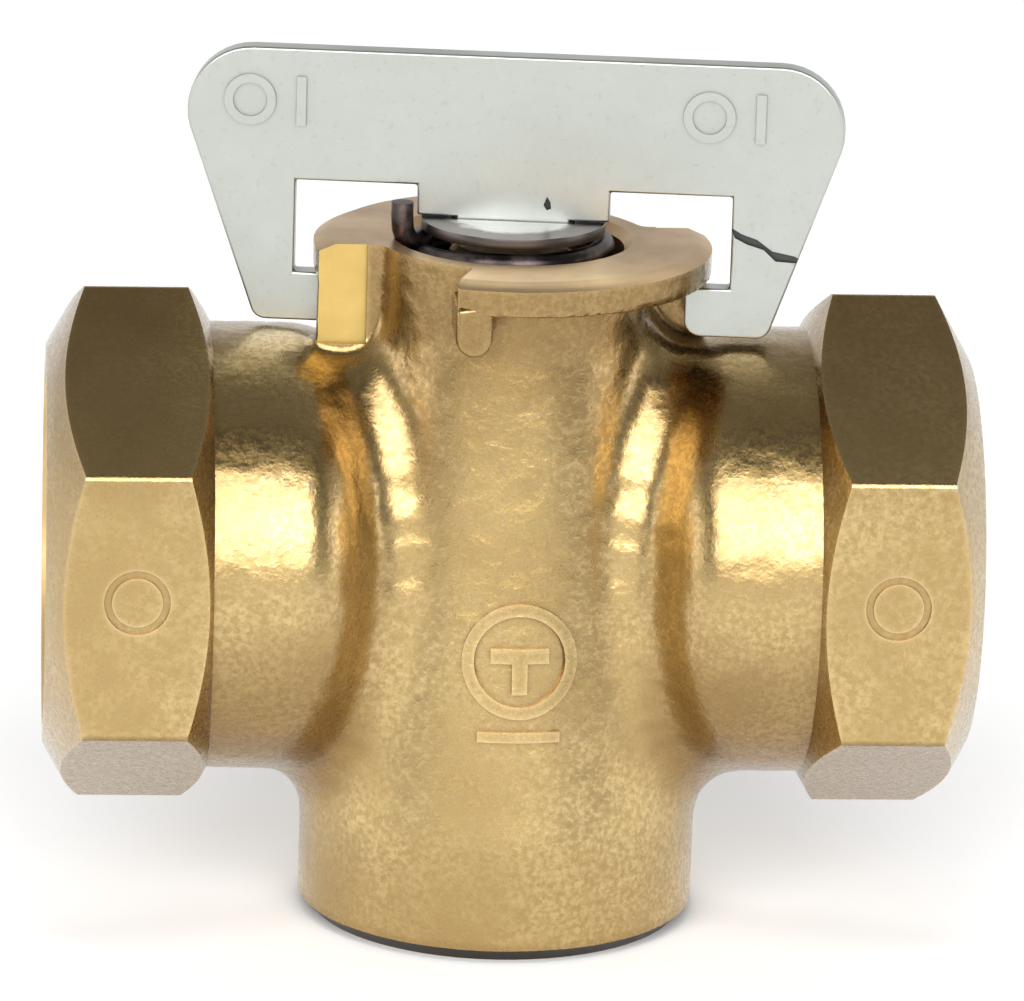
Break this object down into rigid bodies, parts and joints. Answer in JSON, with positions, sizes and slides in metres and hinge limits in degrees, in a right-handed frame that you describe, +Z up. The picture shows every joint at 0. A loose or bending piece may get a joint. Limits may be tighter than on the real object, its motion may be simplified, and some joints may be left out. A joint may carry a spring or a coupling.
{
  "type": "three way valve",
  "caption": "Forged brass three way taper-plug valve with hexagon line ports, a round bottom port and a spring-held sheet-steel handle.",
  "frame": {"origin": "centre of the bottom boss's flat face, on the plug's axis", "axes": "+X along the two line ports, +Z up along the plug's axis towards the handle, -Y the side with the front stop lug"},
  "size_m": [0.054, 0.027, 0.0515],
  "materials": {
    "forged_brass": "grainy forged, unpolished",
    "turned_brass": "turned, bright",
    "plated_washer": "zinc plated, satin",
    "spring_steel": "dark drawn wire",
    "plated_sheet": "zinc plated, matt"
  },
  "bodies": {
    "valve_body": {"valve_body": "forged_brass"},
    "plug": {"taper_plug": "turned_brass", "seat_washer": "plated_washer", "plug_spring": "spring_steel"},
    "handle": {"handle_plate": "plated_sheet", "cap_washer": "plated_washer"}
  },
  "joints": [
    {"name": "plug_turn", "type": "hinge", "parent": "valve_body", "child": "plug", "pos_m": [0, 0, 0.0219], "axis": [0, 0, 1], "range_deg": [-87, 7]},
    {"name": "handle_press", "type": "slide", "parent": "plug", "child": "handle", "axis": [0, 0, -1], "range_m": [0, 0.0003], "stiffness_N_per_m": 6000, "springref_m": -0.0005, "deforming": ["plug_spring"]}
  ]
}
